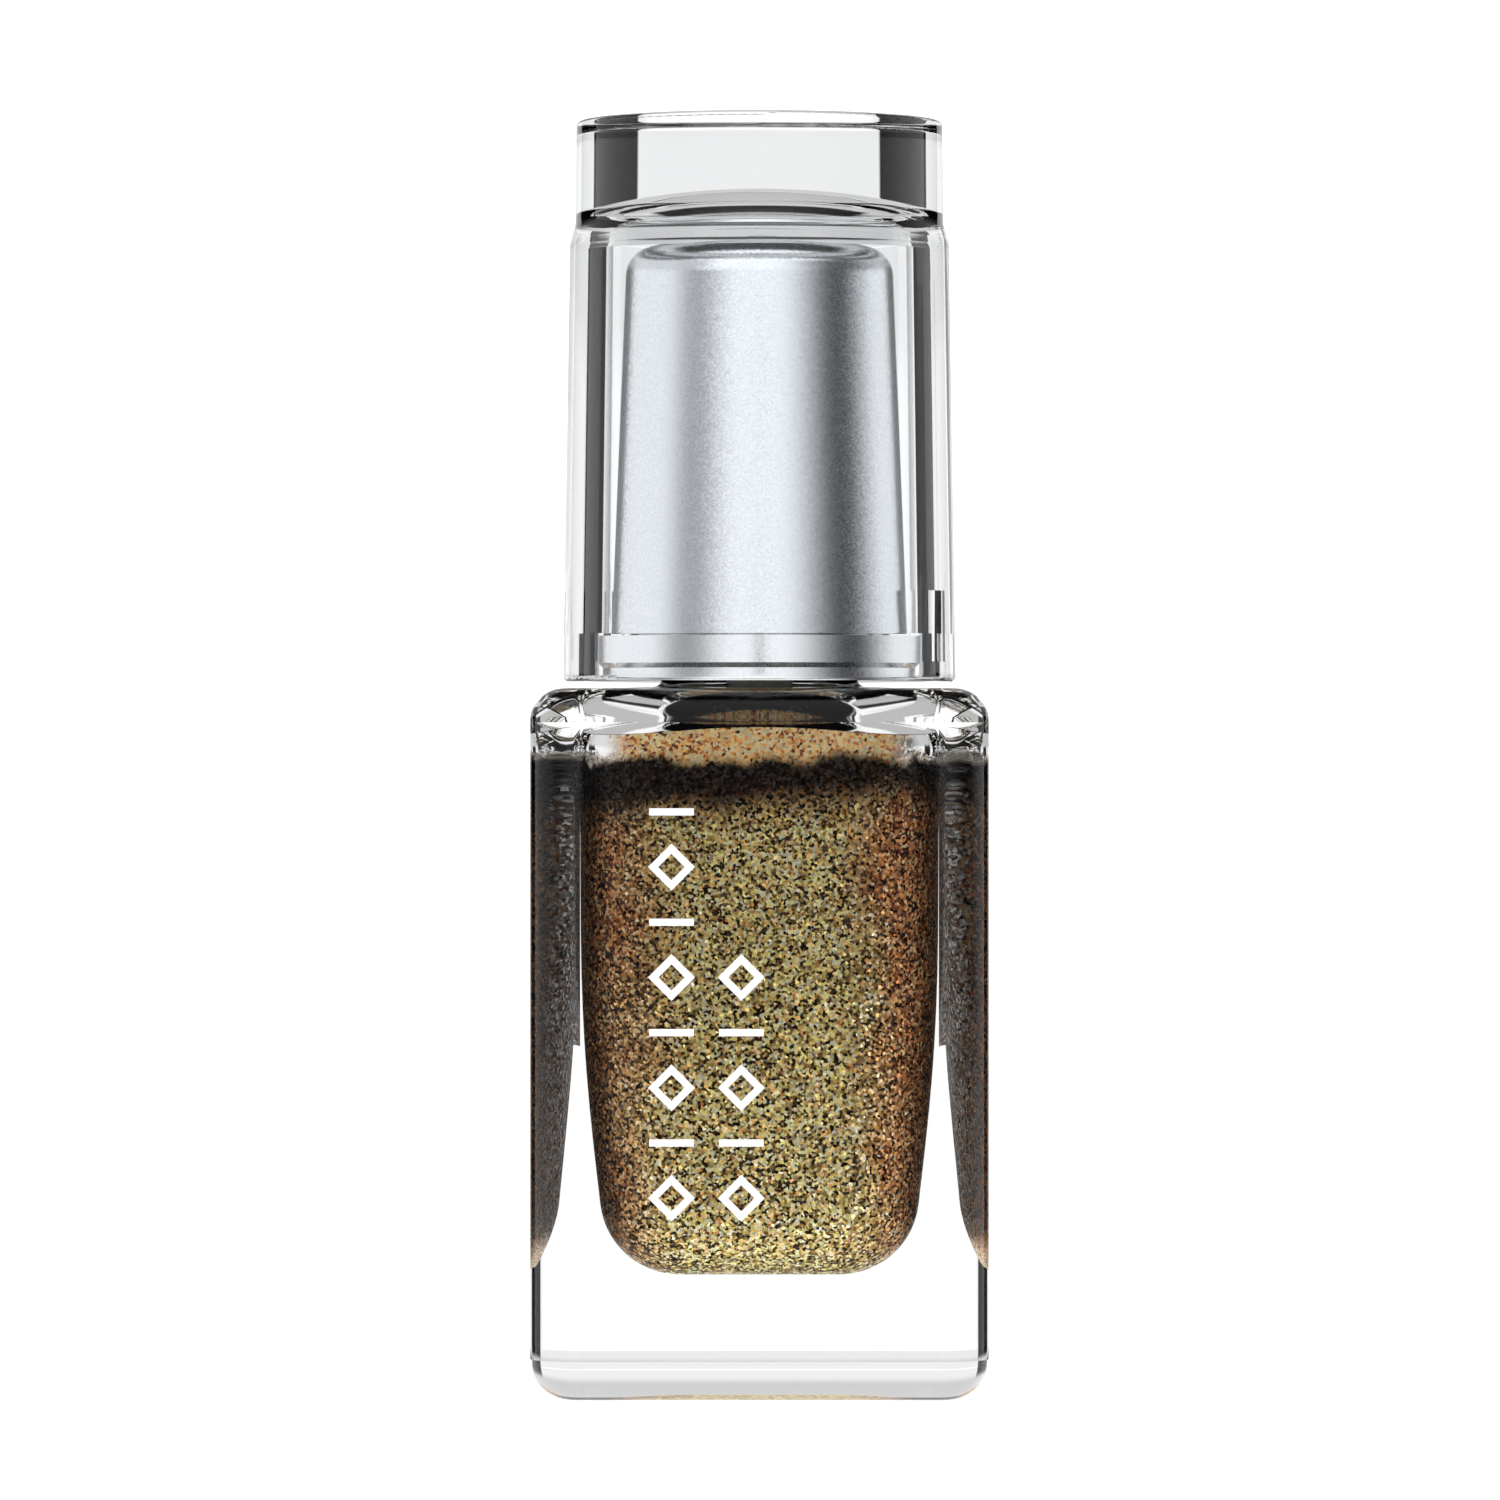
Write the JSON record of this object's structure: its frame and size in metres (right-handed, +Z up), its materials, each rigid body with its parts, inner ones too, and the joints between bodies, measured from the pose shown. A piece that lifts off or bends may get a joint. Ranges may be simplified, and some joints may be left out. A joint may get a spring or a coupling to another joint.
{
  "type": "nail lacquer bottle",
  "caption": "Square clear glass lacquer bottle with a threaded neck, a screw closure that carries a brush, a silver sleeve and a round clear overcap.",
  "frame": {"origin": "middle of the face that the bottle stands on", "axes": "+Z up along the neck's axis; -Y faces out of the printed front of the bottle; +X to the right as the printed front is seen"},
  "size_m": [0.0268, 0.0269, 0.0752],
  "materials": {
    "clear_glass": "clear pressed flint glass, polished, with a thick base",
    "lacquer": "olive gold lacquer full of fine metallic flakes, red brown towards the sides",
    "steel": "polished stainless steel",
    "white_ink": "white screen print",
    "seal_foam": "closed-cell sealing foam",
    "stem_plastic": "natural white plastic",
    "bristle": "dark nylon filaments",
    "silver_coating": "vacuum metallised silver over plastic, satin",
    "silver_sleeve": "satin anodised silver with a fine sparkling grain",
    "clear_plastic": "clear moulded acrylic, polished"
  },
  "bodies": {
    "bottle": {"glass_bottle": "clear_glass", "front_print": "white_ink", "lacquer": "lacquer", "mixing_ball_1": "steel", "mixing_ball_2": "steel"},
    "seal": {"neck_seal": "seal_foam"},
    "brush": {"brush_stem": "stem_plastic", "bristle_tuft": "bristle", "bristle_staple": "steel"},
    "cap": {"inner_cap": "silver_coating", "silver_sleeve": "silver_sleeve", "overcap": "clear_plastic"}
  },
  "joints": [
    {"name": "cap_lift", "type": "slide", "parent": "bottle", "child": "seal", "axis": [0, 0, 1], "range_m": [0, 0.048]},
    {"name": "cap_rise", "type": "slide", "parent": "seal", "child": "brush", "axis": [0, 0, 1], "range_m": [0, 0.00317]},
    {"name": "cap_turn", "type": "hinge", "parent": "brush", "child": "cap", "pos_m": [0, 0, 0.05], "axis": [0, 0, 1], "range_deg": [0, 540]}
  ],
  "couplings": [
    {"joint": "cap_rise", "follows": "cap_turn", "m_per_rad": 0.00033688}
  ]
}
